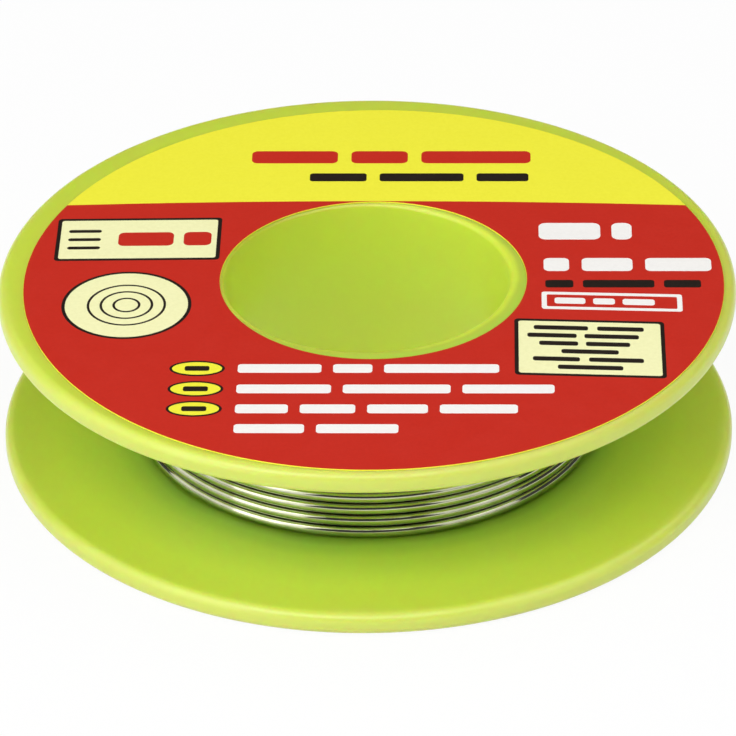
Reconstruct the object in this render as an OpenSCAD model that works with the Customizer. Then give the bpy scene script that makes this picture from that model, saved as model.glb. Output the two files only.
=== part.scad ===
// Pocket spool of flux-cored solder wire.
// Millimetres, +Z up along the spool's axis. The origin is the centre of the lower
// flange's outer face, which is the face that the spool stands on.

/* [Flanges] */
// Diameter of both flanges
flange_d = 58; // [50:0.5:70]
// Thickness of the upper flange
upper_flange_t = 1.85; // [1.7:0.05:3]
// Thickness of the lower flange
lower_flange_t = 1.85; // [1.7:0.05:3]
// Radius of the rounded edges of both rims
rim_round = 0.75; // [0.1:0.05:0.8]
// Height over both flanges
spool_h = 14.5; // [13:0.1:22]

/* [Hub] */
// Diameter of the through bore that a spindle passes
bore_d = 22.5; // [16:0.5:25]
// Radius of the rounded mouths of the bore
mouth_round = 0.4; // [0.1:0.05:0.6]
// Wall of the hub's spigot, which reaches down through the lower flange
spigot_wall = 0.9; // [0.8:0.05:1.3]
// Wall of the lower flange's collar round the spigot
collar_wall = 0.75; // [0.5:0.05:1.2]
// Height of the collar above the lower flange's inner face
collar_h = 4; // [2:0.1:6]
// Step from the foot of the spigot up from the standing face
spigot_recess = 0.2; // [0.1:0.05:0.3]

/* [Snap] */
// Radius of the round snap bead on the spigot
bead_r = 0.35; // [0.25:0.05:0.4]
// How far the bead stands proud of the spigot
bead_proud = 0.15; // [0.1:0.01:0.2]
// Height of the bead's middle above the standing face
bead_z = 0.95; // [0.9:0.05:1.1]

/* [Label] */
// Thickness of the self-adhesive label
label_t = 0.1; // [0.06:0.01:0.3]
// Bare ring of the flange between the label's edge and the rim
label_margin = 1.5; // [1.3:0.1:6]
// How much wider the label's hole is than the bore, on each side
label_hole_margin = 0.8; // [0.5:0.05:3]
// How far the label was stuck off centre to the right
label_shift_x = 0.5; // [0:0.05:0.5]
// How far the label was stuck off centre to the front
label_shift_y = 0.55; // [0:0.05:0.6]

/* [Wire] */
// Diameter of the solder wire
wire_d = 1; // [0.8:0.05:1.2]
// Diameter over the outermost layer of wire
winding_d = 37.1; // [34:0.1:50]
// Diameter of the flux core inside the wire
flux_d = 0.4; // [0.2:0.05:0.5]
// Least air kept between neighbouring turns of the outermost layer
turn_gap = 0.45; // [0.42:0.01:1]
// Length of the free end of the wire past its last turn
free_end_l = 6; // [3:0.5:10]
// Angle round the axis at which the outermost layer starts and ends
turn_start = 100; // [0:5:355]
// Bend radius of the wire where it climbs out of the layer beneath
climb_bend_r = 5; // [3:0.5:8]

/* [Fits] */
// Clearance between spigot and collar, and between bead and groove
snap_gap = 0.05; // [0.02:0.01:0.1]
// Clearance between the wire and what it lies on or against
wire_gap = 0.05; // [0.02:0.01:0.1]
// Clearance between the flux and the wire's bore
flux_gap = 0.01; // [0.005:0.005:0.02]

/* [Hidden] */
$fn = 96;
eps = 0.01;

// Hub radii, from the bore outwards
bore_r = bore_d / 2;
spigot_r = bore_r + spigot_wall;
socket_r = spigot_r + snap_gap;
hub_r = socket_r + collar_wall;
flange_r = flange_d / 2;

// Heights of the wire's channel and of the shoulder that sits on the collar
channel_lo = lower_flange_t;
channel_hi = spool_h - upper_flange_t;
shoulder_z = lower_flange_t + collar_h;

// Snap bead: the middle of its circle lies inside the spigot's wall
bead_mid_r = spigot_r + bead_proud - bead_r;

// Label
label_r = flange_r - label_margin;
label_hole_r = bore_r + label_hole_margin;

// Outermost layer: 24 rings of 6 sides to a turn, flat sides towards the next turn
turn_rings = 24;
tube_sides = 6;
tube_flats = wire_d * cos(180 / tube_sides);
path_r = winding_d / 2 - wire_d / 2;
path_lo = channel_lo + wire_gap + wire_d / 2;
path_hi = channel_hi - wire_gap - wire_d / 2;
turns = floor((path_hi - path_lo) / (tube_flats + turn_gap));
pitch = (path_hi - path_lo) / turns;
// A straight side between two rings comes this near to the axis
chord_r = path_r * cos(180 / turn_rings);
core_r = chord_r - wire_d / 2 - wire_gap;

// The layer starts and ends at one angle, and the wire runs the same way at both
function along(angle, l) = l * [cos(angle), sin(angle)];
function lift(xy, z) = [xy[0], xy[1], z];
turn_xy = along(turn_start, path_r);
run_dir = turn_start + 90;

// The route of the outermost layer: a straight start, the turns and a straight end
helix = [
    for (i = [0 : turns * turn_rings])
        let (a = turn_start + 360 * i / turn_rings)
        lift(along(a, path_r), path_lo + pitch * i / turn_rings)
];
tube_start = lift(turn_xy - along(run_dir, wire_d), path_lo);
tube_end = lift(turn_xy + along(run_dir, wire_d), path_hi);
route = concat([tube_start], helix, [tube_end]);

// Direction at each point of the route, level at both ends
function heading(i) =
    i == 0 || i == len(route) - 1 ? lift(along(run_dir, 1), 0)
    : unit(route[i + 1] - route[i - 1]);
function unit(v) = v / norm(v);

// One ring of the tube, square to the route
function ring(i) =
    let (t = heading(i), side = unit(cross(t, [0, 0, 1])), up = cross(side, t))
    [
        for (k = [0 : tube_sides - 1])
            let (a = 360 * k / tube_sides)
            route[i] + wire_d / 2 * (cos(a) * side + sin(a) * up)
    ];
rings = [for (i = [0 : len(route) - 1]) ring(i)];

// The climb out of the layer beneath: an arc that ends this far under the ring's surface
climb_sink = 0.2;
climb_mid_r = path_r - climb_bend_r;
climb_mid_off = norm([climb_mid_r, wire_d]);
climb_outer_r = climb_bend_r + wire_d / 2;
climb_sweep = atan2(wire_d, climb_mid_r)
    + acos((pow(core_r - climb_sink, 2) - pow(climb_mid_off, 2) - pow(climb_outer_r, 2))
        / (2 * climb_mid_off * climb_outer_r));

// Least gap of the tube to itself, between surface points half a turn or more apart
near = 2.5 * wire_d;
gaps = [
    for (i = [0 : len(route) - 1])
        for (j = [i + turn_rings / 2 : 1 : len(route) - 1])
            if (norm(route[i] - route[j]) < near)
                for (p = rings[i])
                    for (q = rings[j])
                        norm(p - q)
];
least_gap = min(gaps);
echo(turns_of_outer_layer = turns, least_gap_to_itself_mm = least_gap);

// A tube through the rings, closed at both ends, with triangles for faces
module tube(rings, sides) {
    last = len(rings) - 1;
    points = [for (r = rings) for (p = r) p];
    walls = [
        for (i = [0 : last - 1])
            for (k = [0 : sides - 1])
                let (a = i * sides + k, b = i * sides + (k + 1) % sides)
                each [[a, b, a + sides], [b, b + sides, a + sides]]
    ];
    front = [for (k = [1 : sides - 2]) [0, k + 1, k]];
    back = [for (k = [1 : sides - 2]) [last * sides, last * sides + k, last * sides + k + 1]];
    polyhedron(points = points, faces = concat(walls, front, back));
}

// Section of a flange from r_in to the rim, with both edges of the rim rounded
module flange_section(r_in, z, t) {
    translate([r_in, z])
        square([flange_r - rim_round - r_in, t]);
    translate([r_in, z + rim_round])
        square([flange_r - r_in, t - 2 * rim_round]);
    for (edge = [z + rim_round, z + t - rim_round])
        translate([flange_r - rim_round, edge])
            circle(r = rim_round);
}

// What a rounded mouth takes off the bore's edge; dir is 1 at the upper mouth, -1 below
module mouth_cut(z, dir) {
    difference() {
        translate([bore_r - eps, min(z, z - dir * mouth_round) - (dir < 0 ? eps : 0)])
            square([mouth_round + eps, mouth_round + eps]);
        translate([bore_r + mouth_round, z - dir * mouth_round])
            circle(r = mouth_round);
    }
}

// Upper flange, moulded in one with the hub and its spigot
module upper_flange_with_hub() {
    color("yellowgreen")
        rotate_extrude()
            difference() {
                union() {
                    flange_section(bore_r, channel_hi, upper_flange_t);
                    translate([bore_r, shoulder_z])
                        square([hub_r - bore_r, channel_hi - shoulder_z + eps]);
                    translate([bore_r, spigot_recess])
                        square([spigot_wall, shoulder_z - spigot_recess + eps]);
                    translate([bead_mid_r, bead_z])
                        circle(r = bead_r);
                }
                mouth_cut(spool_h, 1);
                mouth_cut(spigot_recess, -1);
            }
}

// Lower flange with the collar that the spigot snaps into
module lower_flange() {
    color("yellowgreen")
        rotate_extrude()
            difference() {
                union() {
                    flange_section(socket_r, 0, lower_flange_t);
                    translate([socket_r, lower_flange_t - eps])
                        square([collar_wall, collar_h + eps]);
                }
                translate([bead_mid_r, bead_z])
                    circle(r = bead_r + snap_gap);
            }
}

// Self-adhesive paper label on the upper flange
module label() {
    color("crimson")
        translate([label_shift_x, -label_shift_y, spool_h])
            difference() {
                cylinder(r = label_r, h = label_t);
                translate([0, 0, -eps])
                    cylinder(r = label_hole_r, h = label_t + 2 * eps);
            }
}

// The layers beneath the outermost one, as one plain ring, and the wire that climbs out of it
module wire_inner_layers() {
    color("gray")
        union() {
            rotate_extrude()
                translate([hub_r + wire_gap, channel_lo + wire_gap])
                    square([core_r - hub_r - wire_gap, channel_hi - channel_lo - 2 * wire_gap]);
            translate(tube_start - lift(along(turn_start, climb_bend_r), 0))
                rotate([0, 0, turn_start - climb_sweep])
                    rotate_extrude(angle = climb_sweep)
                        translate([climb_bend_r, 0])
                            circle(d = wire_d);
        }
}

// The outermost layer of wire: one unbroken tube
module wire_outer_layer() {
    color("silver")
        tube(rings, tube_sides);
}

// Places its children on the wire's free end, with +Z along the wire
module at_free_end() {
    translate(tube_end)
        rotate([0, 0, run_dir])
            rotate([0, 90, 0])
                children();
}

// The wire's free end, cut square, with the bore that the flux fills
module wire_free_end() {
    color("silver")
        at_free_end()
            difference() {
                cylinder(d = wire_d, h = free_end_l);
                translate([0, 0, -eps])
                    cylinder(d = flux_d, h = free_end_l + 2 * eps);
            }
}

// The flux core, which shows at the cut
module flux_core() {
    color("goldenrod")
        at_free_end()
            cylinder(d = flux_d - 2 * flux_gap, h = free_end_l);
}

upper_flange_with_hub();
lower_flange();
label();
wire_inner_layers();
wire_outer_layer();
wire_free_end();
flux_core();
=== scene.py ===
"""Looks of the solder wire spool: two moulded halves, a printed label and five layers of wire."""

import math

import bmesh
import bpy
from mathutils import Matrix, Vector


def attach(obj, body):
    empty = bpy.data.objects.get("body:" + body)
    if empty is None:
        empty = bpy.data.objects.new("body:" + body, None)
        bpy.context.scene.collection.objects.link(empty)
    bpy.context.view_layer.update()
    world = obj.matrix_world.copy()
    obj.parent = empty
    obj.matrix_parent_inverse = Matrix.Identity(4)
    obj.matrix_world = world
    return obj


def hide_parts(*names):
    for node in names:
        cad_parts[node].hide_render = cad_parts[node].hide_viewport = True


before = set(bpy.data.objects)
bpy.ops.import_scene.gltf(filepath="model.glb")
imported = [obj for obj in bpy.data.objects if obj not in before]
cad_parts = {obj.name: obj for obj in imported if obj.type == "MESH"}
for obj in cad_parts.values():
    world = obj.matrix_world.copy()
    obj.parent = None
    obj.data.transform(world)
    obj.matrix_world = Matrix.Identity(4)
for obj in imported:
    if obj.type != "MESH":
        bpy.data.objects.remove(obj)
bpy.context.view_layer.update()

MM = 0.001
BODY = "root"

# Spool halves, in millimetres
FLANGE_R = 29.0
FLANGE_T = 1.85
RIM_ROUND = 0.75
SPOOL_H = 14.5
BORE_R = 11.25
MOUTH_ROUND = 0.4
SPIGOT_R = 12.15
SPIGOT_FOOT = 0.2
SOCKET_R = 12.2
HUB_R = 12.95
SHOULDER_Z = 5.85
BEAD_R, BEAD_MID_R, BEAD_Z = 0.35, 11.95, 0.95
SNAP_GAP = 0.05
CHANNEL_LO = FLANGE_T
CHANNEL_HI = SPOOL_H - FLANGE_T

# Label, in millimetres: its hole's centre, how far its outer edge was cut off that centre, its turn
# on the flange, and the room that the paper leaves for the films of ink on it
LABEL_MID = Vector((0.5, -0.55, 0))
LABEL_CUT_OFF_CENTRE = Vector((0.03, -0.28, 0))
LABEL_TURN = math.radians(-1.35)
LABEL_PLACE = Matrix.Translation(LABEL_MID) @ Matrix.Rotation(LABEL_TURN, 4, "Z")
LABEL_R = 27.5
LABEL_HOLE_R = 12.05
LABEL_TOP = 14.6
INK_ROOM, INK_T = 0.012, 0.004
PAPER_TOP = LABEL_TOP - INK_ROOM
# Where the label's yellow field starts this far to the left and right, and how far it bows out
YELLOW_FROM, YELLOW_HALF_W, YELLOW_BOW = 11.5, LABEL_R * 0.9, 0.65

# Wire, in millimetres
WIRE_R = 0.5
PATH_LO, PATH_HI = 2.4, 12.1
HUB_LAYER_R = 13.85
OUTER_LAYER_R = 18.05
INNER_LAYERS = 4
LAYER_STEP = (OUTER_LAYER_R - HUB_LAYER_R) / INNER_LAYERS
LAYER_START = math.radians(20)
LAST_TURN_END = math.radians(100)
RUN_OUT = 1.0
FREE_END_L = 6.0
FLUX_R = 0.19
FLUX_GAP = 0.01

# Too short to show, in millimetres
HAIR = 0.001


# ---------------------------------------------------------------- nodes and colours

# A Mix node's inputs and output for numbers and for colours
MIX_A, MIX_B = 2, 3
MIX_COLOUR_A, MIX_COLOUR_B, MIXED_COLOUR = 6, 7, 2
# Most values of a noise lie between these
NOISE_SPREAD = (0.3, 0.7)


def rgb(hex_code):
    """An sRGB hex colour as linear RGBA."""
    channels = [int(hex_code[i:i + 2], 16) / 255 for i in (1, 3, 5)]
    return [c / 12.92 if c <= 0.04045 else ((c + 0.055) / 1.055) ** 2.4 for c in channels] + [1.0]


def add(tree, kind, inputs=(), **settings):
    """Adds a node, sets its properties, and sets or links its inputs, which are given in their
    order or under their names. A node among them stands for its first output."""
    node = tree.nodes.new(kind)
    for name, value in settings.items():
        setattr(node, name, value)
    for key, value in inputs.items() if isinstance(inputs, dict) else enumerate(inputs):
        if isinstance(value, bpy.types.Node):
            value = value.outputs[0]
        if isinstance(value, bpy.types.NodeSocket):
            tree.links.new(value, node.inputs[key])
        else:
            node.inputs[key].default_value = value
    return node


def new_material(name, slot):
    """A material for one of the finishes, and its empty tree."""
    material = bpy.data.materials.new(name)
    material.use_nodes = True
    material.node_tree.nodes.clear()
    material["slot"] = slot
    return material, material.node_tree


# ---------------------------------------------------------------- materials

# Colour of the plastic at these distances from the axis, in millimetres, with light and shade painted
# into it: painted light on the bore's wall and a paler painted sheen at the rim, for light coming through
# the thin plastic, a dimmer painted ring at the bore's mouth, and painted shade, a deeper green, beside the
# winding
PLASTIC_TONES_PAINTED_LIGHT_AND_SHADE = (
    (11.55, "#D4E84C"), (11.9, "#BFD44A"), (12.4, "#B8DC4C"), (18.3, "#8AB334"), (19.4, "#B5DB4B"),
    (21.0, "#CCE84F"), (25.0, "#D0E64A"), (28.0, "#CADA47"), (28.9, "#D2DA64"))
# How far the plastic's flow in the mould shifts those tones and their painted light and shade, in
# millimetres
TONE_AND_PAINTED_SHADE_SHIFT = 0.3


def moulded_polystyrene():
    """Injection-moulded polystyrene: glossy from a polished mould, a little see-through, so that
    light spreads in it, and faintly wavy like all thin mouldings."""
    material, tree = new_material("moulded_polystyrene", "spool_plastic")
    flow_per_mm, haze_per_mm, grain_per_mm, waves_per_mm = 0.12, 0.5, 6.0, 0.15
    place = add(tree, "ShaderNodeTexCoord").outputs["Object"]
    flat = add(tree, "ShaderNodeVectorMath", [place, (1, 1, 0)], operation="MULTIPLY")
    radius = add(tree, "ShaderNodeVectorMath", [flat], operation="LENGTH").outputs["Value"]
    flow = add(tree, "ShaderNodeTexNoise", {"Vector": place, "Scale": flow_per_mm / MM, "Detail": 3.0})
    shift = add(tree, "ShaderNodeMapRange", [flow, *NOISE_SPREAD, -TONE_AND_PAINTED_SHADE_SHIFT * MM, TONE_AND_PAINTED_SHADE_SHIFT * MM])
    shifted = add(tree, "ShaderNodeMath", [radius, shift], operation="ADD")
    share = add(tree, "ShaderNodeMath", [shifted, FLANGE_R * MM], operation="DIVIDE")
    # Base colour by radius: the plastic's tone, with painted light at the bore and rim and painted shade
    # beside the winding
    tone_painted_light_and_shade = add(tree, "ShaderNodeValToRGB", [share])
    stops = tone_painted_light_and_shade.color_ramp.elements
    while len(stops) < len(PLASTIC_TONES_PAINTED_LIGHT_AND_SHADE):
        stops.new(0.5)
    for stop, (at_mm, tone) in zip(stops, PLASTIC_TONES_PAINTED_LIGHT_AND_SHADE):
        stop.position, stop.color = at_mm / FLANGE_R, rgb(tone)
    haze = add(tree, "ShaderNodeTexNoise", {"Vector": place, "Scale": haze_per_mm / MM, "Detail": 3.0})
    gloss = add(tree, "ShaderNodeMapRange", [haze, *NOISE_SPREAD, 0.3, 0.36])
    grain = add(tree, "ShaderNodeTexNoise", {"Vector": place, "Scale": grain_per_mm / MM})
    grainy = add(tree, "ShaderNodeBump", {"Strength": 0.5, "Distance": 0.0006 * MM, "Height": grain})
    waves = add(tree, "ShaderNodeTexNoise", {"Vector": place, "Scale": waves_per_mm / MM, "Detail": 1.0})
    wavy = add(tree, "ShaderNodeBump", {
        "Strength": 0.5, "Distance": 0.03 * MM, "Height": waves, "Normal": grainy})
    surface = add(tree, "ShaderNodeBsdfPrincipled", {
        "Base Color": tone_painted_light_and_shade, "Roughness": gloss, "IOR": 1.59, "Normal": wavy,
        "Subsurface Weight": 0.8, "Subsurface Radius": (0.5, 1.0, 0.15), "Subsurface Scale": 2 * MM})
    add(tree, "ShaderNodeOutputMaterial", [surface])
    return material


def printed_paper(name, light, dark):
    """Varnished label paper: solid printed colour with a faint mottle from the fibres underneath."""
    material, tree = new_material(name, "label_paper")
    fibres_per_mm, varnish_per_mm = 3.0, 0.6
    place = add(tree, "ShaderNodeTexCoord").outputs["Object"]
    fibres = add(tree, "ShaderNodeTexNoise", {
        "Vector": place, "Scale": fibres_per_mm / MM, "Detail": 4.0, "Roughness": 0.7})
    mottle = add(tree, "ShaderNodeMapRange", [fibres, *NOISE_SPREAD])
    colour = add(tree, "ShaderNodeMix", {
        0: mottle, MIX_COLOUR_A: rgb(dark), MIX_COLOUR_B: rgb(light)}, data_type="RGBA")
    varnish = add(tree, "ShaderNodeTexNoise", {
        "Vector": place, "Scale": varnish_per_mm / MM, "Detail": 3.0})
    gloss = add(tree, "ShaderNodeMapRange", [varnish, *NOISE_SPREAD, 0.38, 0.5])
    bump = add(tree, "ShaderNodeBump", {"Strength": 0.15, "Distance": 0.01 * MM, "Height": fibres})
    surface = add(tree, "ShaderNodeBsdfPrincipled", {
        "Base Color": colour.outputs[MIXED_COLOUR], "Roughness": gloss, "IOR": 1.5,
        "Specular IOR Level": 0.3, "Normal": bump})
    add(tree, "ShaderNodeOutputMaterial", [surface])
    return material


def drawn_solder():
    """Tin alloy drawn through a die: bright as a mirror across its width, with fine lines along
    its length and dull patches where turns have rubbed on each other."""
    material, tree = new_material("drawn_solder", "solder")
    lines_per_mm, line_stretch, patches_per_mm = 7.0, 50, 0.5
    painted_shade_from, painted_shade_full, painted_shade_share = 0.76, 0.99, 0.75
    along = add(tree, "ShaderNodeAttribute", attribute_name="drawn").outputs["Vector"]
    coordinates = add(tree, "ShaderNodeTexCoord").outputs
    # Die lines are finer than this on real wire; these are as coarse as they need to be to show
    stretched = add(tree, "ShaderNodeMapping", {"Vector": along, "Scale": (1 / line_stretch, 1, 1)})
    lines = add(tree, "ShaderNodeTexNoise", {
        "Vector": stretched, "Scale": lines_per_mm / MM, "Detail": 3.0, "Roughness": 0.6})
    rubbed = add(tree, "ShaderNodeTexNoise", {
        "Vector": coordinates["Object"], "Scale": patches_per_mm / MM, "Detail": 3.0, "Roughness": 0.6})
    patches = add(tree, "ShaderNodeMapRange", [rubbed, *NOISE_SPREAD])
    # The two tones differ at random where turns have rubbed; their yellow-green cast is a painted
    # reflection of the green plastic on the solder's own grey
    bright = add(tree, "ShaderNodeMix", {
        0: patches, MIX_COLOUR_A: rgb("#BABC9E"), MIX_COLOUR_B: rgb("#CED0B4")}, data_type="RGBA")
    # Painted shade: the wire's colour turns a dark olive in the grooves between the turns, where the
    # wire's surface faces up or down, standing in for the shade there and the green plastic it reflects
    upwards = add(tree, "ShaderNodeSeparateXYZ", [coordinates["Normal"]]).outputs["Z"]
    steepness = add(tree, "ShaderNodeMath", [upwards], operation="ABSOLUTE")
    # The mask of the painted groove shade
    film = add(tree, "ShaderNodeMapRange", [
        steepness, painted_shade_from, painted_shade_full, 0.0, painted_shade_share], interpolation_type="SMOOTHSTEP")
    with_painted_groove_shade = add(tree, "ShaderNodeMix", {
        0: film, MIX_COLOUR_A: bright.outputs[MIXED_COLOUR], MIX_COLOUR_B: rgb("#343F18")},
        data_type="RGBA")
    lined = add(tree, "ShaderNodeMapRange", [lines, *NOISE_SPREAD, 0.05, 0.11])
    worn = add(tree, "ShaderNodeMapRange", [rubbed, *NOISE_SPREAD, 0.0, 0.04])
    dull = add(tree, "ShaderNodeMath", [lined, worn], operation="ADD")
    bump = add(tree, "ShaderNodeBump", {"Strength": 0.35, "Distance": 0.006 * MM, "Height": lines})
    surface = add(tree, "ShaderNodeBsdfPrincipled", {
        "Base Color": with_painted_groove_shade.outputs[MIXED_COLOUR], "Metallic": 1.0, "Roughness": dull, "Normal": bump})
    add(tree, "ShaderNodeOutputMaterial", [surface])
    return material


def rosin():
    """Rosin flux: clear amber resin, glossy where it broke off with the cut."""
    material, tree = new_material("rosin", "flux")
    clouds_per_mm = 8.0
    place = add(tree, "ShaderNodeTexCoord").outputs["Object"]
    cloud = add(tree, "ShaderNodeTexNoise", {"Vector": place, "Scale": clouds_per_mm / MM, "Detail": 3.0})
    share = add(tree, "ShaderNodeMapRange", [cloud, *NOISE_SPREAD])
    colour = add(tree, "ShaderNodeMix", {
        0: share, MIX_COLOUR_A: rgb("#8A4B12"), MIX_COLOUR_B: rgb("#C88A2E")}, data_type="RGBA")
    gloss = add(tree, "ShaderNodeMapRange", [cloud, *NOISE_SPREAD, 0.12, 0.3])
    bump = add(tree, "ShaderNodeBump", {"Strength": 0.4, "Distance": 0.02 * MM, "Height": cloud})
    surface = add(tree, "ShaderNodeBsdfPrincipled", {
        "Base Color": colour.outputs[MIXED_COLOUR], "Roughness": gloss, "IOR": 1.53, "Normal": bump,
        "Subsurface Weight": 0.5, "Subsurface Radius": (1.0, 0.5, 0.1), "Subsurface Scale": 0.3 * MM,
        "Coat Weight": 0.4})
    add(tree, "ShaderNodeOutputMaterial", [surface])
    return material


PLASTIC = moulded_polystyrene()
RED_PRINT = printed_paper("printed_paper_red", "#C92B1C", "#C4281A")
YELLOW_PRINT = printed_paper("printed_paper_yellow", "#F8F342", "#F3EE3A")
CREAM_PRINT = printed_paper("printed_paper_cream", "#FBFAC2", "#F4F3B8")
WHITE_PRINT = printed_paper("printed_paper_white", "#FAF8F4", "#F5F3EF")
BLACK_PRINT = printed_paper("printed_paper_black", "#241A12", "#1C130D")
SOLDER = drawn_solder()
ROSIN = rosin()


# ---------------------------------------------------------------- turned shapes

TURN_STEPS = 240
SHARP_EDGE = math.radians(35)
# From the edge of a wide flat face to its first ring, in millimetres
FACE_EDGE = 0.2


def arc(mid_r, mid_z, radius, start, end, steps):
    """Points on an arc in a section, angles in degrees."""
    angles = [math.radians(start + (end - start) * i / steps) for i in range(steps + 1)]
    return [(mid_r + radius * math.cos(a), mid_z + radius * math.sin(a)) for a in angles]


def between(first, last, steps):
    """Points on the straight line from first up to, but not including, last."""
    return [(first[0] + (last[0] - first[0]) * i / steps, first[1] + (last[1] - first[1]) * i / steps)
            for i in range(steps)]


def turned(section, steps):
    """A closed section in millimetres, turned round the Z axis. Its points on the axis are poles."""
    mesh = bmesh.new()
    poles = {z: mesh.verts.new((0, 0, z)) for r, z in section if r == 0}
    rings = []
    for i in range(steps):
        angle = 2 * math.pi * i / steps
        rings.append([
            poles[z] if r == 0 else mesh.verts.new((r * math.cos(angle), r * math.sin(angle), z))
            for r, z in section])
    for i in range(steps):
        here, there = rings[i], rings[(i + 1) % steps]
        for j in range(len(section)):
            k = (j + 1) % len(section)
            corners = list(dict.fromkeys((here[j], there[j], there[k], here[k])))
            if len(corners) > 2:
                mesh.faces.new(corners)
    return mesh


def keep(mesh, name, materials, place=Matrix.Identity(4)):
    """Makes a finished piece of a closed mesh in bmesh form, given in millimetres."""
    bmesh.ops.recalc_face_normals(mesh, faces=mesh.faces)
    mesh.transform(Matrix.Scale(MM, 4) @ place)
    data = bpy.data.meshes.new(name)
    mesh.to_mesh(data)
    mesh.free()
    data.shade_smooth()
    data.set_sharp_from_angle(angle=SHARP_EDGE)
    for material in materials:
        data.materials.append(material)
    piece = bpy.data.objects.new(name, data)
    bpy.context.scene.collection.objects.link(piece)
    return piece


def rim_section(z, steps=12):
    """The rounded rim of a flange whose lower face lies at z, from its lower face to its upper."""
    mid_r = FLANGE_R - RIM_ROUND
    return (arc(mid_r, z + RIM_ROUND, RIM_ROUND, -90, 0, steps)
            + arc(mid_r, z + FLANGE_T - RIM_ROUND, RIM_ROUND, 0, 90, steps))


def make_upper_half():
    """Upper flange with the whole hub: the section runs up the bore, out over the flange,
    round the rim and back down the outside of the hub to the foot of the spigot."""
    mouth_r = BORE_R + MOUTH_ROUND
    bead = math.degrees(math.acos((SPIGOT_R - BEAD_MID_R) / BEAD_R))
    section = (
        arc(mouth_r, SPIGOT_FOOT + MOUTH_ROUND, MOUTH_ROUND, 270, 180, steps=6)
        + arc(mouth_r, SPOOL_H - MOUTH_ROUND, MOUTH_ROUND, 180, 90, steps=8)
        + between((mouth_r + FACE_EDGE, SPOOL_H), (FLANGE_R - RIM_ROUND, SPOOL_H), steps=8)
        + rim_section(CHANNEL_HI)[::-1]
        + [(HUB_R, CHANNEL_HI), (HUB_R, SHOULDER_Z), (SPIGOT_R, SHOULDER_Z)]
        + arc(BEAD_MID_R, BEAD_Z, BEAD_R, bead, -bead, steps=8)
        + [(SPIGOT_R, SPIGOT_FOOT)])
    return keep(turned(section, TURN_STEPS), "spool_upper_half", [PLASTIC])


def make_lower_half():
    """Lower flange with the collar that takes the spigot, and the groove for its snap bead."""
    reach = BEAD_R + SNAP_GAP
    groove = math.degrees(math.acos((SOCKET_R - BEAD_MID_R) / reach))
    section = (
        [(SOCKET_R, 0)]
        + between((SOCKET_R + FACE_EDGE, 0), (FLANGE_R - RIM_ROUND, 0), steps=8)
        + rim_section(0)
        + [(HUB_R, CHANNEL_LO), (HUB_R, SHOULDER_Z), (SOCKET_R, SHOULDER_Z)]
        + arc(BEAD_MID_R, BEAD_Z, reach, groove, -groove, steps=8))
    return keep(turned(section, TURN_STEPS), "spool_lower_half", [PLASTIC])


# ---------------------------------------------------------------- label

def yellow_edge(x):
    """Where the yellow field starts, so far to the right of the label's middle."""
    return YELLOW_FROM + YELLOW_BOW * (1 - (x / YELLOW_HALF_W) ** 2)


def make_label():
    """Ring label of yellow paper, printed red up to its back part. The colours meet on a clean
    edge of the mesh, which is straight in each of many strips."""
    edge, first_ring, strips = 0.02, 0.1, 24
    section = (
        [(LABEL_HOLE_R, SPOOL_H), (LABEL_HOLE_R, PAPER_TOP - edge), (LABEL_HOLE_R + edge, PAPER_TOP)]
        + between((LABEL_HOLE_R + first_ring, PAPER_TOP), (LABEL_R - edge, PAPER_TOP), steps=6)
        + [(LABEL_R - edge, PAPER_TOP), (LABEL_R, PAPER_TOP - edge), (LABEL_R, SPOOL_H)])
    mesh = turned(section, TURN_STEPS)
    for vertex in mesh.verts:
        share = (vertex.co.xy.length - LABEL_HOLE_R) / (LABEL_R - LABEL_HOLE_R)
        vertex.co += LABEL_CUT_OFF_CENTRE * share
    cuts = [-LABEL_R + 2 * LABEL_R * i / strips for i in range(strips + 1)]
    for x in cuts[1:-1]:
        everything = mesh.verts[:] + mesh.edges[:] + mesh.faces[:]
        bmesh.ops.bisect_plane(mesh, geom=everything, plane_co=(x, 0, 0), plane_no=(1, 0, 0))
    for left, right in zip(cuts, cuts[1:]):
        start, end = (Vector((x, yellow_edge(x), 0)) for x in (left, right))
        strip = [face for face in mesh.faces if left < face.calc_center_median().x < right]
        corners = {vertex for face in strip for vertex in face.verts}
        sides = {line for face in strip for line in face.edges}
        bmesh.ops.bisect_plane(mesh, geom=[*corners, *sides, *strip], plane_co=start,
                               plane_no=Vector((0, 0, 1)).cross(end - start))
    bmesh.ops.dissolve_degenerate(mesh, dist=HAIR, edges=mesh.edges)
    for face in mesh.faces:
        middle = face.calc_center_median()
        is_cut_edge = middle.z < PAPER_TOP - HAIR
        face.material_index = int(is_cut_edge or middle.y > yellow_edge(middle.x))
    return keep(mesh, "printed_label", [RED_PRINT, YELLOW_PRINT], LABEL_PLACE)


def rounded_box(x, y, w, h, corner, steps=5):
    """Outline of a rounded box round (x, y)."""
    corner = min(corner, w / 2 - HAIR, h / 2 - HAIR)
    points = []
    for sx, sy, start in ((1, 1, 0), (-1, 1, 90), (-1, -1, 180), (1, -1, 270)):
        for i in range(steps + 1):
            a = math.radians(start + 90 * i / steps)
            points.append((x + sx * (w / 2 - corner) + corner * math.cos(a),
                           y + sy * (h / 2 - corner) + corner * math.sin(a)))
    return points


def oval(x, y, rx, ry, steps=40):
    """Outline of an oval round (x, y)."""
    return [(x + rx * math.cos(2 * math.pi * i / steps), y + ry * math.sin(2 * math.pi * i / steps))
            for i in range(steps)]


def slanted(outline, x, slant):
    """An outline whose level lines fall or rise by this slope, and keep their height at x."""
    return [(px, py + slant * (px - x)) for px, py in outline]


def box_frame(x, y, w, h, line, corner, slant):
    """A frame of this line width inside a slanted box round (x, y)."""
    return tuple(slanted(rounded_box(x, y, w - 2 * inset, h - 2 * inset, r), x, slant)
                 for inset, r in ((0, corner), (line, corner / 2)))


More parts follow.
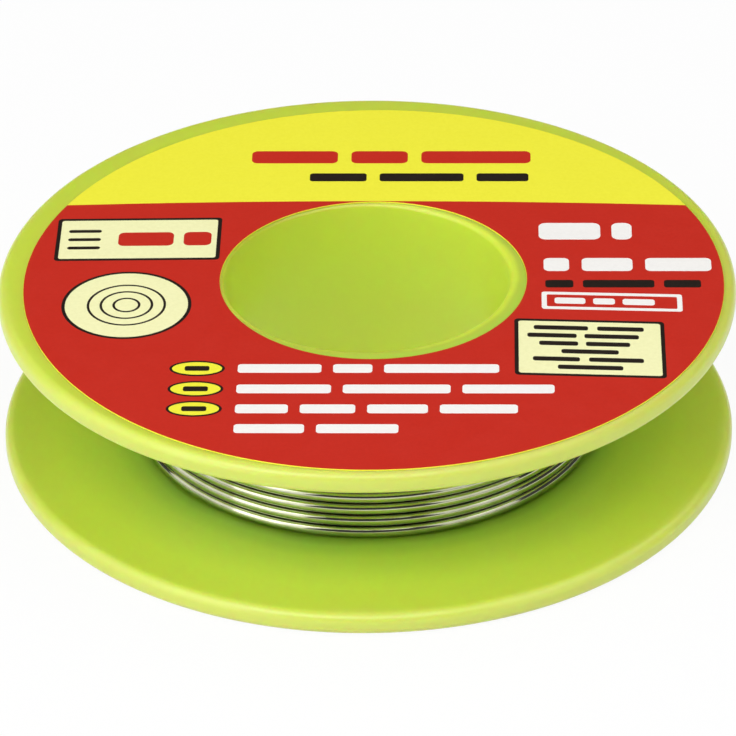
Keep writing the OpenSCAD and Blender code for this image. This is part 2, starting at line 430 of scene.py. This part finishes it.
def oval_frame(x, y, rx, ry, line, steps=40):
    """A frame of this line width inside an oval round (x, y)."""
    return oval(x, y, rx, ry, steps), oval(x, y, rx - line, ry - line, steps)


def words(left, middle, height, lengths, gap=0.9, corner=0.28):
    """A line of print as plain bars, one to a word."""
    bars, x = [], left
    for length in lengths:
        bars.append(rounded_box(x + length / 2, middle, length, height, corner))
        x += length + gap
    return bars


def ink(name, material, fills, frames=(), level=0):
    """Printed shapes as one thin film: filled outlines, and frames as pairs of outlines."""
    low, high = PAPER_TOP - INK_T, PAPER_TOP + INK_T * (level + 1)
    mesh = bmesh.new()
    for outline in fills:
        rings = [[mesh.verts.new((x, y, z)) for x, y in outline] for z in (low, high)]
        mesh.faces.new(rings[0][::-1])
        mesh.faces.new(rings[1])
        for i in range(len(outline)):
            j = (i + 1) % len(outline)
            mesh.faces.new((rings[0][i], rings[0][j], rings[1][j], rings[1][i]))
    for outer, inner in frames:
        rings = [[mesh.verts.new((x, y, z)) for x, y in line]
                 for line, z in ((outer, low), (outer, high), (inner, high), (inner, low))]
        for here, there in zip(rings, rings[1:] + rings[:1]):
            for i in range(len(outer)):
                j = (i + 1) % len(outer)
                mesh.faces.new((here[i], here[j], there[j], there[i]))
    return keep(mesh, name, [material], LABEL_PLACE)


def make_print():
    """Plain bars, boxes and ovals in the places where such labels carry their print."""
    text_left, text_h, rows, last_row = -10.15, 1.25, (-13.45, -16.4, -19.25), -22.05
    oval_x, oval_rx, oval_ry = -13.27, 2.13, 1.12
    norm_x, norm_y, norm_slant = 18.67, -3.52, -0.041
    advice_x, advice_y, advice_slant = 16.84, -10.45, -0.047
    heat_x, heat_y, heat_slant = -18.78, 6.1, 0.018
    disc_x, disc_y, disc_r = -19.2, -4.05, 5.08
    box_line, disc_line, oval_line = 0.32, 0.27, 0.21
    norm = words(14.2, norm_y, 0.9, (2.4, 1.7, 2.5), 0.6, 0.25)
    white = (
        words(text_left, rows[0], text_h, (6.4, 3.0, 8.8))
        + words(text_left, rows[1], text_h, (7.2, 8.2, 7.0))
        + words(text_left, rows[2], text_h, (4.0, 4.2, 4.6, 5.9))
        + words(text_left, last_row, text_h, (5.3, 6.2))
        + words(13.05, 7.35, 2.6, (4.9, 1.6), 0.9, 0.6)
        + words(13.4, 2.15, 2.0, (2.0, 4.0, 5.2), 1.0, 0.45)
        + [slanted(bar, norm_x, norm_slant) for bar in norm])
    white_frame = [box_frame(norm_x, norm_y, 10.95, 2.6, 0.4, 0.25, norm_slant)]
    black = (
        words(13.5, -0.8, 1.15, (2.2, 5.6, 2.9), 0.75, 0.25)
        + words(-5.4, 16.0, 1.3, (4.6, 6.8, 4.2), 1.05))
    red = words(-10.2, 19.3, 2.0, (7.0, 4.6, 8.9), 1.1, 0.5)
    cream = [
        slanted(rounded_box(advice_x, advice_y, 11.0, 7.7, 0.3), advice_x, advice_slant),
        slanted(rounded_box(heat_x, heat_y, 12.5, 6.0, 0.3), heat_x, heat_slant),
        oval(disc_x, disc_y, disc_r - 0.25, disc_r - 0.25, 64)]
    yellow = [oval(oval_x, y, oval_rx - 0.2, oval_ry - 0.2) for y in rows]
    outlines = [
        box_frame(advice_x, advice_y, 11.6, 8.3, box_line, 0.35, advice_slant),
        box_frame(heat_x, heat_y, 13.1, 6.6, box_line, 0.35, heat_slant),
        oval_frame(disc_x, disc_y, disc_r, disc_r, disc_line, 64),
        *(oval_frame(oval_x, y, oval_rx, oval_ry, oval_line) for y in rows)]
    advice = (
        rounded_box(advice_x + dx, advice_y + dy, w, 0.62, 0.2) for dx, dy, w in (
            (-2.2, 2.9, 4.2), (2.4, 2.9, 3.6), (-2.9, 1.75, 3.8), (1.7, 1.75, 4.2),
            (-2.4, 0.6, 3.0), (1.4, 0.6, 3.4), (0.0, -0.55, 4.4),
            (-2.6, -1.7, 3.6), (2.0, -1.7, 4.2), (0.0, -2.85, 5.0)))
    heat = [rounded_box(heat_x - 4.3, heat_y + dy, 2.6, 0.45, 0.2) for dy in (1.3, 0.0, -1.3)]
    over_cream = (
        [slanted(bar, advice_x, advice_slant) for bar in advice]
        + [rounded_box(oval_x, y, 1.9, 0.7, 0.2) for y in rows]
        + [slanted(bar, heat_x, heat_slant) for bar in heat])
    over_cream_rings = [oval_frame(disc_x, disc_y, r, r, 0.2, 48) for r in (1.1, 2.1, 3.1)]
    over_cream_red = [slanted(bar, heat_x, heat_slant)
                      for bar in words(heat_x - 1.6, heat_y, 2.1, (4.4, 2.2), 0.8, 0.5)]
    return [
        ink("print_white", WHITE_PRINT, white, white_frame),
        ink("print_black", BLACK_PRINT, black, outlines),
        ink("print_red", RED_PRINT, red),
        ink("print_cream", CREAM_PRINT, cream),
        ink("print_yellow", YELLOW_PRINT, yellow),
        ink("print_black_over", BLACK_PRINT, over_cream, over_cream_rings, level=1),
        ink("print_red_over", RED_PRINT, over_cream_red, level=1)]


# ---------------------------------------------------------------- wire

# "Level turns" is 1 where the turns run level round the front and step up at the back, and 0 where
# they climb evenly. "Looser end" is the share by which the turns lie closer at first than at last
WINDING_INPUTS = {
    "NodeSocketFloat": (
        "Layers", "Turns to a layer", "Wire radius", "First layer radius", "Layer step", "Climb share",
        "Lowest", "Highest", "Start angle", "Level turns", "Steps", "Looser end", "Wander", "Seed",
        "Run out"),
    "NodeSocketInt": ("Points to a turn", "Points", "Sides")}
# On the outermost layer the wire steps up to its next turn in the first part of each turn, and
# on the first turn it only then climbs out of the layer beneath; both happen at the back
STEP_SHARE, CLIMB_END = 0.19, 0.39
# How quickly the wire's wander changes in a turn, and how far its two courses lie apart on the noise
WANDER_RATE, WANDER_APART = 1.7, 57.0
# How late in a layer its turns get looser
LOOSE_POWER = 5.0


def winding_tree():
    """One unbroken wire wound in layers that run up and down the hub in turn."""
    tree = bpy.data.node_groups.new("wound_wire", "GeometryNodeTree")
    tree.interface.new_socket("Geometry", in_out="OUTPUT", socket_type="NodeSocketGeometry")
    for kind, names in WINDING_INPUTS.items():
        for name in names:
            tree.interface.new_socket(name, in_out="INPUT", socket_type=kind)
    given = add(tree, "NodeGroupInput").outputs
    layers, turns_each, level = given["Layers"], given["Turns to a layer"], given["Level turns"]
    lowest, highest = given["Lowest"], given["Highest"]

    # How many layers and turns have been wound at each point, and the angle there
    index = add(tree, "GeometryNodeInputIndex")
    turns_asked = add(tree, "ShaderNodeMath", [index, given["Points to a turn"]], operation="DIVIDE")
    layers_asked = add(tree, "ShaderNodeMath", [turns_asked, turns_each], operation="DIVIDE")
    wound = add(tree, "ShaderNodeMath", [layers_asked, layers], operation="MINIMUM")
    whole_layers = add(tree, "ShaderNodeMath", [wound], operation="FLOOR")
    part_layer = add(tree, "ShaderNodeMath", [wound, whole_layers], operation="SUBTRACT")
    turns = add(tree, "ShaderNodeMath", [wound, turns_each], operation="MULTIPLY")
    turned_by = add(tree, "ShaderNodeMath", [turns, 2 * math.pi], operation="MULTIPLY")
    angle = add(tree, "ShaderNodeMath", [turned_by, given["Start angle"]], operation="ADD")

    # The wire wanders most between the ends of a piece and not at all at them
    layers_left = add(tree, "ShaderNodeMath", [layers, wound], operation="SUBTRACT")
    turns_left = add(tree, "ShaderNodeMath", [layers_left, turns_each], operation="MULTIPLY")
    to_an_end = add(tree, "ShaderNodeMath", [turns, turns_left], operation="MINIMUM")
    fade = add(tree, "ShaderNodeMath", [to_an_end, 1.0], operation="MINIMUM")
    wander = []
    for apart in (0.0, WANDER_APART):
        paced = add(tree, "ShaderNodeMath", [turns, WANDER_RATE], operation="MULTIPLY")
        seed = add(tree, "ShaderNodeMath", [given["Seed"], apart], operation="ADD")
        where = add(tree, "ShaderNodeMath", [paced, seed], operation="ADD")
        course = add(tree, "ShaderNodeTexNoise", {"W": where, "Scale": 1.0}, noise_dimensions="1D")
        centred = add(tree, "ShaderNodeMath", [course, 0.5], operation="SUBTRACT")
        wide = add(tree, "ShaderNodeMath", [centred, given["Wander"]], operation="MULTIPLY")
        wander.append(add(tree, "ShaderNodeMath", [wide, fade], operation="MULTIPLY"))

    # Radius: it grows by one step where the wire climbs from one layer to the next. An even layer
    # climbs at its end, and a level one at the start of its own piece
    last_start = add(tree, "ShaderNodeMath", [layers, 1.0], operation="SUBTRACT")
    last_but_one = add(tree, "ShaderNodeMath", [layers, 1.5], operation="SUBTRACT")
    more_to_come = add(tree, "ShaderNodeMath", [whole_layers, last_but_one], operation="LESS_THAN")
    climb_from = add(tree, "ShaderNodeMath", [1.0, given["Climb share"]], operation="SUBTRACT")
    at_end = add(tree, "ShaderNodeMapRange", [
        part_layer, climb_from, 1.0], interpolation_type="SMOOTHSTEP")
    last_climb = add(tree, "ShaderNodeMath", [more_to_come, at_end], operation="MULTIPLY")
    climbs_made = add(tree, "ShaderNodeMath", [whole_layers, last_start], operation="MINIMUM")
    climb_late = add(tree, "ShaderNodeMath", [last_climb, climbs_made], operation="ADD")
    climb_early = add(tree, "ShaderNodeMapRange", [
        turns, STEP_SHARE, CLIMB_END], interpolation_type="SMOOTHSTEP")
    climb = add(tree, "ShaderNodeMix", {0: level, MIX_A: climb_late, MIX_B: climb_early})
    even_radius = add(tree, "ShaderNodeMath", [
        climb, given["Layer step"], given["First layer radius"]], operation="MULTIPLY_ADD")
    outwards = add(tree, "ShaderNodeMath", [wander[0], 0.5], operation="MULTIPLY")
    radius = add(tree, "ShaderNodeMath", [even_radius, outwards], operation="ADD")

    # Height: up one layer and down the next, and looser where the last turns end
    whole_turns = add(tree, "ShaderNodeMath", [turns], operation="FLOOR")
    part_turn = add(tree, "ShaderNodeMath", [turns, whole_turns], operation="SUBTRACT")
    step_up = add(tree, "ShaderNodeMapRange", [
        part_turn, 0.0, STEP_SHARE], interpolation_type="SMOOTHSTEP")
    steps_begun = add(tree, "ShaderNodeMath", [whole_turns, step_up], operation="ADD")
    steps_after_first = add(tree, "ShaderNodeMath", [steps_begun, 1.0], operation="SUBTRACT")
    steps_made = add(tree, "ShaderNodeMath", [steps_after_first, 0.0], operation="MAXIMUM")
    stepped = add(tree, "ShaderNodeMath", [steps_made, given["Steps"]], operation="DIVIDE")
    up_and_down = add(tree, "ShaderNodeMath", [wound, 1.0], operation="PINGPONG")
    share = add(tree, "ShaderNodeMix", {0: level, MIX_A: up_and_down, MIX_B: stepped})
    late = add(tree, "ShaderNodeMath", [share, LOOSE_POWER], operation="POWER")
    loosened = add(tree, "ShaderNodeMix", {0: given["Looser end"], MIX_A: share, MIX_B: late})
    rise = add(tree, "ShaderNodeMath", [highest, lowest], operation="SUBTRACT")
    even_height = add(tree, "ShaderNodeMath", [loosened, rise, lowest], operation="MULTIPLY_ADD")
    free_height = add(tree, "ShaderNodeMath", [even_height, wander[1]], operation="ADD")
    height = add(tree, "ShaderNodeClamp", [free_height, lowest, highest])

    # Past its last turn the wire runs out straight
    layers_over = add(tree, "ShaderNodeMath", [layers_asked, wound], operation="SUBTRACT")
    turns_over = add(tree, "ShaderNodeMath", [layers_over, turns_each], operation="MULTIPLY")
    turn_length = add(tree, "ShaderNodeMath", [radius, 2 * math.pi], operation="MULTIPLY")
    length_over = add(tree, "ShaderNodeMath", [turns_over, turn_length], operation="MULTIPLY")
    run = add(tree, "ShaderNodeMath", [length_over, given["Run out"]], operation="MINIMUM")
    unturned = add(tree, "ShaderNodeCombineXYZ", [radius, run, height])
    position = add(tree, "ShaderNodeVectorRotate", {
        "Vector": unturned, "Angle": angle}, rotation_type="Z_AXIS")

    # The tube keeps its place on the wire as "drawn": its length, and the place on its round section
    line = add(tree, "GeometryNodeMeshLine", {"Count": given["Points"]}, mode="OFFSET")
    moved = add(tree, "GeometryNodeSetPosition", {"Geometry": line, "Position": position})
    path = add(tree, "GeometryNodeMeshToCurve", {"Mesh": moved})
    length = add(tree, "GeometryNodeSplineParameter").outputs["Length"]
    path_kept = add(tree, "GeometryNodeStoreNamedAttribute", {
        "Geometry": path, "Name": "run", "Value": length}, data_type="FLOAT", domain="POINT")
    circle = add(tree, "GeometryNodeCurvePrimitiveCircle", {
        "Resolution": given["Sides"], "Radius": given["Wire radius"]}, mode="RADIUS")
    around = add(tree, "GeometryNodeInputPosition")
    circle_kept = add(tree, "GeometryNodeStoreNamedAttribute", {
        "Geometry": circle, "Name": "rim", "Value": around}, data_type="FLOAT_VECTOR", domain="POINT")
    tube = add(tree, "GeometryNodeCurveToMesh", {
        "Curve": path_kept, "Profile Curve": circle_kept, "Fill Caps": True})
    run_back = add(tree, "GeometryNodeInputNamedAttribute", {"Name": "run"}, data_type="FLOAT")
    rim_back = add(tree, "GeometryNodeInputNamedAttribute", {"Name": "rim"}, data_type="FLOAT_VECTOR")
    rim_parts = add(tree, "ShaderNodeSeparateXYZ", [rim_back]).outputs
    drawn = add(tree, "ShaderNodeCombineXYZ", [run_back, rim_parts["X"], rim_parts["Y"]])
    marked = add(tree, "GeometryNodeStoreNamedAttribute", {
        "Geometry": tube, "Name": "drawn", "Value": drawn}, data_type="FLOAT_VECTOR", domain="POINT")
    smooth = add(tree, "GeometryNodeSetShadeSmooth", {"Geometry": marked})
    real = add(tree, "GeometryNodeRealizeInstances", {"Geometry": smooth})
    done = add(tree, "GeometryNodeSetMaterial", {"Geometry": real, "Material": SOLDER})
    add(tree, "NodeGroupOutput", {"Geometry": done})
    return tree


def grow(tree, name, values):
    """Runs a tree on an empty mesh and keeps the result as a plain mesh."""
    host = bpy.data.objects.new(name, bpy.data.meshes.new(name))
    bpy.context.scene.collection.objects.link(host)
    modifier = host.modifiers.new("grow", "NODES")
    modifier.node_group = tree
    for item in tree.interface.items_tree:
        if item.item_type == "SOCKET" and item.in_out == "INPUT":
            modifier[item.identifier] = values[item.name]
    result = bpy.data.meshes.new_from_object(host.evaluated_get(bpy.context.evaluated_depsgraph_get()))
    host.modifiers.clear()
    host.data = result
    result.name = name
    return host


def make_windings():
    """Four hidden layers and the outermost one, which starts where they end."""
    tree = winding_tree()
    shared = {
        "Wire radius": WIRE_R * MM, "Layer step": LAYER_STEP * MM, "Climb share": 0.03,
        "Lowest": PATH_LO * MM, "Highest": PATH_HI * MM, "Start angle": LAYER_START}
    inner_turns, inner_points = 9.5, 64
    inner = grow(tree, "wound_layers_beneath", shared | {
        "Layers": float(INNER_LAYERS), "Turns to a layer": inner_turns,
        "Points to a turn": inner_points, "Points": int(INNER_LAYERS * inner_turns * inner_points) + 1,
        "Sides": 12, "First layer radius": HUB_LAYER_R * MM, "Level turns": 0.0, "Steps": 1.0,
        "Looser end": 0.0, "Wander": 0.03 * MM, "Seed": 11.0, "Run out": 0.0})
    whole_turns, outer_points, run_out_points = 9, 126, 2
    outer_turns = whole_turns + (LAST_TURN_END - LAYER_START) / (2 * math.pi)
    outer = grow(tree, "wound_outer_layer", shared | {
        "Layers": 1.0, "Turns to a layer": outer_turns,
        "Points to a turn": outer_points, "Points": int(outer_turns * outer_points) + 1 + run_out_points,
        "Sides": 24, "First layer radius": (OUTER_LAYER_R - LAYER_STEP) * MM, "Level turns": 1.0,
        "Steps": float(whole_turns), "Looser end": 0.035, "Wander": 0.12 * MM, "Seed": 4.0,
        "Run out": RUN_OUT * MM})
    return inner, outer


def free_end_place():
    """Puts a piece made along +Z on the wire's free end."""
    out = LAST_TURN_END + math.pi / 2
    start = (Vector((math.cos(LAST_TURN_END), math.sin(LAST_TURN_END), 0)) * OUTER_LAYER_R
             + Vector((math.cos(out), math.sin(out), 0)) * RUN_OUT + Vector((0, 0, PATH_HI)))
    return Matrix.Translation(start) @ Matrix.Rotation(out, 4, "Z") @ Matrix.Rotation(math.pi / 2, 4, "Y")


def make_free_end():
    """The free end, cut with pliers, so that its edge is a little rolled, and the rosin in it,
    which broke off just inside the cut."""
    tip, bore, rolled, first_ring = FREE_END_L, FLUX_R + FLUX_GAP, 0.12, 0.3
    section = (
        [(bore, 0), (WIRE_R, 0)]
        + between((WIRE_R, first_ring), (WIRE_R, tip - rolled), steps=10)
        + arc(WIRE_R - rolled, tip - rolled, rolled, 0, 80, steps=5)
        + [(bore + 0.08, tip - 0.01), (bore, tip - 0.05)])
    place = free_end_place()
    wire = keep(turned(section, 32), "cut_wire_end", [SOLDER], place)
    drawn = wire.data.attributes.new("drawn", "FLOAT_VECTOR", "POINT")
    back = place.inverted()
    for vertex, value in zip(wire.data.vertices, drawn.data):
        local = back @ (vertex.co / MM)
        value.vector = (local.z * MM, local.x * MM, local.y * MM)
    core = [(0, 0), (FLUX_R, 0), (FLUX_R, tip - 0.09), (FLUX_R * 0.8, tip - 0.06),
            (FLUX_R * 0.45, tip - 0.045), (0, tip - 0.04)]
    flux = keep(turned(core, 24), "rosin_core", [ROSIN], place)
    return wire, flux


# ---------------------------------------------------------------- pieces on the frame

def place_piece(piece, slot, *nodes):
    """Rides a piece on the spool's body, in place of its CAD nodes. The slot is not used."""
    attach(piece, BODY)
    if nodes:
        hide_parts(*nodes)


place_piece(make_upper_half(), "spool_plastic", "upper_flange_with_hub")
place_piece(make_lower_half(), "spool_plastic", "lower_flange")
place_piece(make_label(), "label_paper", "label")
for film in make_print():
    place_piece(film, "label_paper")
inner_layers, outer_layer = make_windings()
place_piece(inner_layers, "solder", "wire_inner_layers")
place_piece(outer_layer, "solder", "wire_outer_layer")
wire_end, flux_in_it = make_free_end()
place_piece(wire_end, "solder", "wire_free_end")
place_piece(flux_in_it, "flux", "flux_core")


# ---------------------------------------------------------------- floor, light and camera

WHITE = (1, 1, 1, 1)


def is_looked_at(tree):
    """1 for what the camera sees, itself or in a reflection or through something clear."""
    path = add(tree, "ShaderNodeLightPath").outputs
    seen = add(tree, "ShaderNodeMath", [path["Is Camera Ray"], path["Is Glossy Ray"]], operation="MAXIMUM")
    return add(tree, "ShaderNodeMath", [seen, path["Is Transmission Ray"]], operation="MAXIMUM")


def make_floor():
    """A pale floor that shows as near white and keeps a soft shadow. It lies a hair below the
    standing face, so that the two don't flicker, and from below it is clear."""
    half_size, z = 4.0, -0.01 * MM
    card_tone, white_share = 0.9, 0.92
    data = bpy.data.meshes.new("floor")
    corners = [(x * half_size, y * half_size, z) for x, y in ((-1, -1), (1, -1), (1, 1), (-1, 1))]
    data.from_pydata(corners, [], [(0, 1, 2, 3)])
    floor = bpy.data.objects.new("floor", data)
    bpy.context.scene.collection.objects.link(floor)
    material = bpy.data.materials.new("white_card")
    material.use_nodes = True
    tree = material.node_tree
    tree.nodes.clear()
    card = add(tree, "ShaderNodeBsdfDiffuse", {"Color": (card_tone, card_tone, card_tone, 1)})
    white = add(tree, "ShaderNodeEmission", {"Color": WHITE, "Strength": 1.0})
    # The floor inside the bore stays as dark as it is there
    place = add(tree, "ShaderNodeTexCoord").outputs["Object"]
    radius = add(tree, "ShaderNodeVectorMath", [place], operation="LENGTH").outputs["Value"]
    outside = add(tree, "ShaderNodeMath", [radius, SOCKET_R * MM], operation="GREATER_THAN")
    seen = add(tree, "ShaderNodeMath", [is_looked_at(tree), outside], operation="MULTIPLY")
    share = add(tree, "ShaderNodeMath", [seen, white_share], operation="MULTIPLY")
    both = add(tree, "ShaderNodeMixShader", [share, card, white])
    from_below = add(tree, "ShaderNodeNewGeometry").outputs["Backfacing"]
    clear = add(tree, "ShaderNodeBsdfTransparent")
    one_sided = add(tree, "ShaderNodeMixShader", [from_below, both, clear])
    add(tree, "ShaderNodeOutputMaterial", [one_sided])
    data.materials.append(material)


def make_world():
    """A dim, even room round the lit floor, with a white backdrop and a pale light from below,
    which reaches the standing face only where there is no floor."""
    room_level, level_below = 0.06, 0.6
    world = bpy.data.worlds.new("room")
    bpy.context.scene.world = world
    world.use_nodes = True
    tree = world.node_tree
    tree.nodes.clear()
    way = add(tree, "ShaderNodeTexCoord").outputs["Generated"]
    height = add(tree, "ShaderNodeSeparateXYZ", [way]).outputs["Z"]
    below = add(tree, "ShaderNodeMath", [height, 0.0], operation="LESS_THAN")
    level = add(tree, "ShaderNodeMapRange", {"Value": below, "To Min": room_level, "To Max": level_below})
    looked_at = add(tree, "ShaderNodeLightPath").outputs["Is Camera Ray"]
    strength = add(tree, "ShaderNodeMath", [level, looked_at], operation="MAXIMUM")
    room = add(tree, "ShaderNodeBackground", {"Color": WHITE, "Strength": strength})
    add(tree, "ShaderNodeOutputWorld", [room])


def add_softbox(name, azimuth, elevation, distance, width, height, power):
    """An area lamp that faces the spool. Azimuth 0 is in front of it and 90 at its right, angles
    are in degrees, lengths in metres and the power in watts."""
    lamp = bpy.data.lights.new(name, "AREA")
    lamp.shape = "RECTANGLE"
    lamp.size, lamp.size_y, lamp.energy = width, height, power
    a, e = math.radians(azimuth), math.radians(elevation)
    way = Vector((math.sin(a) * math.cos(e), -math.cos(a) * math.cos(e), math.sin(e)))
    box = bpy.data.objects.new(name, lamp)
    box.matrix_world = Matrix.Translation(way * distance) @ way.to_track_quat("Z", "Y").to_matrix().to_4x4()
    bpy.context.scene.collection.objects.link(box)


def make_camera():
    """The camera's place round the middle of the upper flange's top face."""
    elevation, tilt, roll = math.radians(30.77), math.radians(0.954), math.radians(-0.690)
    distance, focal_px, frame_px = 15.0 * FLANGE_R * MM, 5529.0, 736
    eye = Vector((0, -distance * math.cos(elevation), SPOOL_H * MM + distance * math.sin(elevation)))
    down = elevation + tilt
    forward = Vector((0, math.cos(down), -math.sin(down)))
    right = Vector((1, 0, 0))
    up = right.cross(forward)
    right_turned = right * math.cos(roll) + up * math.sin(roll)
    up_turned = up * math.cos(roll) - right * math.sin(roll)
    data = bpy.data.cameras.new("camera")
    data.sensor_width = 36.0
    data.lens = focal_px * data.sensor_width / frame_px
    camera = bpy.data.objects.new("camera", data)
    axes = Matrix((right_turned, up_turned, -forward)).transposed().to_4x4()
    camera.matrix_world = Matrix.Translation(eye) @ axes
    bpy.context.scene.collection.objects.link(camera)
    bpy.context.scene.camera = camera


make_floor()
make_world()
add_softbox("overhead_box", 0, 86, 0.8, 1.4, 1.4, 2.72)
add_softbox("front_box", -8, 52, 0.55, 0.45, 0.22, 0.8)
add_softbox("left_side_box", -72, 31, 0.55, 0.7, 0.55, 1.25)
add_softbox("right_side_box", 90, 61, 0.55, 0.7, 0.5, 0.95)
add_softbox("left_front_box", -46, 30, 0.5, 0.34, 0.6, 0.85)
add_softbox("right_front_box", 52, 28, 0.5, 0.36, 0.42, 0.42)
make_camera()
bpy.context.scene.view_settings.view_transform = "Standard"
